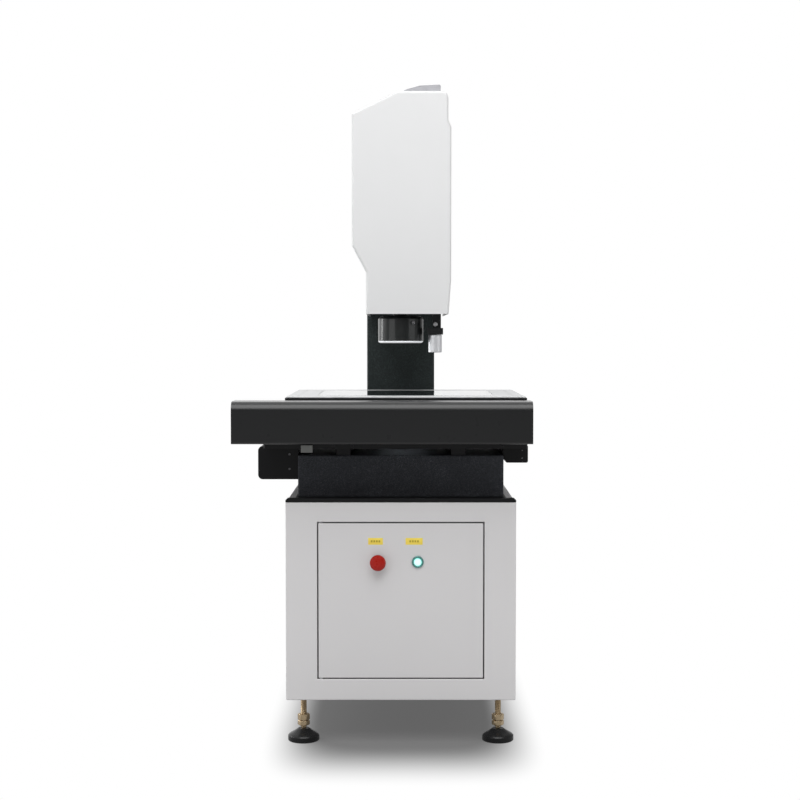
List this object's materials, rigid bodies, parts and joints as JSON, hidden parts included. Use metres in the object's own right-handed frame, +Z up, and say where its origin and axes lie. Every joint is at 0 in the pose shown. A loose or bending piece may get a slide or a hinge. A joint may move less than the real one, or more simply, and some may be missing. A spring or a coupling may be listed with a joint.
{
  "type": "vision measuring machine",
  "caption": "Optical measuring machine: granite stage with a glass table, a cantilevered camera head and a steel cabinet on levelling feet.",
  "frame": {"origin": "on the floor, midway between the four feet", "axes": "+X to the machine's right as seen from the front, +Y to the back, +Z up"},
  "size_m": [0.7435, 1.0265, 1.6967],
  "materials": {
    "white_paint": "semi-gloss powder coat, cool white",
    "door_white": "semi-gloss powder coat, cool white",
    "frame_paint": "matt powder coat on welded tube",
    "black_paint": "satin black coat",
    "grey_paint": "satin grey coat",
    "black_granite": "polished fine-grained black granite",
    "cast_arm": "painted casting, machined faces",
    "cover_white": "semi-gloss cool white",
    "cap_grey": "satin lavender grey",
    "beam_black": "satin black coat with a soft sheen",
    "black_aluminium": "black anodised, fine milled",
    "table_grey": "clear anodised, fine ground",
    "grey_aluminium": "clear anodised",
    "stage_glass": "polished flat glass",
    "rail_steel": "ground and hardened",
    "carriage_steel": "ground, black end seals",
    "screw_steel": "rolled and polished",
    "steel": "turned",
    "zinc_yellow": "yellow zinc plated",
    "pad_black": "moulded, fine texture",
    "motor_black": "black coated stack with bright end bells",
    "black_plastic": "moulded",
    "sensor_grey": "moulded",
    "lamp_housing": "black anodised, white diffuser on top",
    "camera_black": "black anodised",
    "lens_black": "satin black barrel",
    "ring_black": "satin black housing, white lower rim",
    "sensor_black": "black anodised",
    "sensor_silver": "turned cylinder",
    "knob_silver": "turned, with a knurled rim",
    "estop_dark": "moulded",
    "estop_red": "moulded mushroom head",
    "bezel_steel": "turned bezel, black body behind the door",
    "power_lens": "translucent, lit"
  },
  "bodies": {
    "frame": {"cabinet_shell": "white_paint", "cabinet_frame": "frame_paint", "cabinet_top": "black_paint", "cabinet_back": "white_paint", "control_unit": "grey_paint", "hinge_pins": "steel", "granite_base": "black_granite", "y_rails": "rail_steel", "y_rail_stops": "black_aluminium", "y_drive_housing": "black_paint", "y_motor": "motor_black", "screw_bearings": "black_aluminium", "y_scale_housing": "black_paint", "granite_column": "black_granite", "head_arm": "cast_arm", "z_rails": "rail_steel", "z_motor": "motor_black", "head_cover": "cover_white", "motor_cap": "cap_grey", "backlight": "lamp_housing"},
    "y_screw": {"y_screw": "screw_steel"},
    "saddle": {"saddle_plate": "black_aluminium", "y_carriages": "carriage_steel", "y_nut": "steel", "x_rails": "rail_steel", "beam_cover": "beam_black", "beam_end_caps": "black_plastic", "x_motor": "motor_black", "x_screw_bearings": "black_aluminium", "saddle_sensors": "sensor_grey"},
    "x_screw": {"x_screw": "screw_steel"},
    "table": {"table_base": "black_aluminium", "table_top": "table_grey", "table_glass": "stage_glass", "x_carriages": "carriage_steel", "x_nut": "steel"},
    "z_screw": {"z_screw": "screw_steel"},
    "z_slide": {"z_slide_plate": "grey_aluminium", "z_carriages": "carriage_steel", "z_nut": "steel", "camera_body": "camera_black", "zoom_lens": "lens_black", "ring_light": "ring_black", "sensor_bracket": "sensor_black"},
    "sensor": {"sensor_body": "sensor_silver"},
    "clamp_knob": {"clamp_knob": "knob_silver"},
    "door": {"cabinet_door": "door_white", "estop_base": "estop_dark", "power_button_base": "bezel_steel"},
    "estop_stem": {"estop_stem": "estop_dark"},
    "estop_cap": {"estop_cap": "estop_red"},
    "power_button": {"power_button_cap": "power_lens"},
    "pad_front_left": {"foot_pad_front_left": "pad_black"},
    "stud_front_left": {"foot_stud_front_left": "zinc_yellow"},
    "pad_front_right": {"foot_pad_front_right": "pad_black"},
    "stud_front_right": {"foot_stud_front_right": "zinc_yellow"},
    "pad_back_left": {"foot_pad_back_left": "pad_black"},
    "stud_back_left": {"foot_stud_back_left": "zinc_yellow"},
    "pad_back_right": {"foot_pad_back_right": "pad_black"},
    "stud_back_right": {"foot_stud_back_right": "zinc_yellow"}
  },
  "joints": [
    {"name": "y_slide", "type": "slide", "parent": "frame", "child": "saddle", "axis": [0, 1, 0], "range_m": [-0.05, 0.25]},
    {"name": "y_screw_turn", "type": "hinge", "parent": "frame", "child": "y_screw", "pos_m": [-0.317, -0.05, 0.7023], "axis": [0, 1, 0], "range_deg": [-9001, 1801]},
    {"name": "x_slide", "type": "slide", "parent": "saddle", "child": "table", "axis": [1, 0, 0], "range_m": [-0.213, 0.187]},
    {"name": "x_screw_turn", "type": "hinge", "parent": "saddle", "child": "x_screw", "pos_m": [0, -0.5165, 0.8133], "axis": [1, 0, 0], "range_deg": [-6733, 7669]},
    {"name": "z_slide", "type": "slide", "parent": "frame", "child": "z_slide", "axis": [0, 0, 1], "range_m": [-0.085, 0.115]},
    {"name": "z_screw_turn", "type": "hinge", "parent": "frame", "child": "z_screw", "pos_m": [0, 0.008, 1.3], "axis": [0, 0, 1], "range_deg": [-4141, 3061]},
    {"name": "sensor_height", "type": "slide", "parent": "z_slide", "child": "sensor", "axis": [0, 0, 1], "range_m": [-0.015, 0]},
    {"name": "clamp_turn", "type": "hinge", "parent": "z_slide", "child": "clamp_knob", "pos_m": [0.093, -0.165, 1.063], "axis": [0, -1, 0], "range_deg": [0, 360]},
    {"name": "door_hinge", "type": "hinge", "parent": "frame", "child": "door", "pos_m": [-0.2015, -0.454, 0.365], "axis": [0, 0, -1], "range_deg": [0, 105]},
    {"name": "estop_press", "type": "slide", "parent": "door", "child": "estop_stem", "axis": [0, 1, 0], "range_m": [0, 0.004], "stiffness_N_per_m": 1500},
    {"name": "estop_twist", "type": "hinge", "parent": "estop_stem", "child": "estop_cap", "pos_m": [-0.0575, -0.475, 0.4635], "axis": [0, 1, 0], "range_deg": [0, 45], "stiffness_Nm_per_rad": 0.1},
    {"name": "power_press", "type": "slide", "parent": "door", "child": "power_button", "axis": [0, 1, 0], "range_m": [0, 0.0025], "stiffness_N_per_m": 600},
    {"name": "foot_height_front_left", "type": "slide", "parent": "frame", "child": "pad_front_left", "axis": [0, 0, -1], "range_m": [-0.03, 0.03]},
    {"name": "stud_turn_front_left", "type": "hinge", "parent": "pad_front_left", "child": "stud_front_left", "pos_m": [-0.248, -0.418, 0.1], "axis": [0, 0, 1], "range_deg": [-5401, 5401]},
    {"name": "foot_height_front_right", "type": "slide", "parent": "frame", "child": "pad_front_right", "axis": [0, 0, -1], "range_m": [-0.03, 0.03]},
    {"name": "stud_turn_front_right", "type": "hinge", "parent": "pad_front_right", "child": "stud_front_right", "pos_m": [0.248, -0.418, 0.1], "axis": [0, 0, 1], "range_deg": [-5401, 5401]},
    {"name": "foot_height_back_left", "type": "slide", "parent": "frame", "child": "pad_back_left", "axis": [0, 0, -1], "range_m": [-0.03, 0.03]},
    {"name": "stud_turn_back_left", "type": "hinge", "parent": "pad_back_left", "child": "stud_back_left", "pos_m": [-0.248, 0.418, 0.1], "axis": [0, 0, 1], "range_deg": [-5401, 5401]},
    {"name": "foot_height_back_right", "type": "slide", "parent": "frame", "child": "pad_back_right", "axis": [0, 0, -1], "range_m": [-0.03, 0.03]},
    {"name": "stud_turn_back_right", "type": "hinge", "parent": "pad_back_right", "child": "stud_back_right", "pos_m": [0.248, 0.418, 0.1], "axis": [0, 0, 1], "range_deg": [-5401, 5401]}
  ],
  "couplings": [
    {"joint": "y_screw_turn", "follows": "y_slide", "rad_per_m": -628.32},
    {"joint": "x_screw_turn", "follows": "x_slide", "rad_per_m": -628.32},
    {"joint": "z_screw_turn", "follows": "z_slide", "rad_per_m": -628.32},
    {"joint": "stud_turn_front_left", "follows": "foot_height_front_left", "rad_per_m": -3141.6},
    {"joint": "stud_turn_front_right", "follows": "foot_height_front_right", "rad_per_m": -3141.6},
    {"joint": "stud_turn_back_left", "follows": "foot_height_back_left", "rad_per_m": -3141.6},
    {"joint": "stud_turn_back_right", "follows": "foot_height_back_right", "rad_per_m": -3141.6}
  ]
}
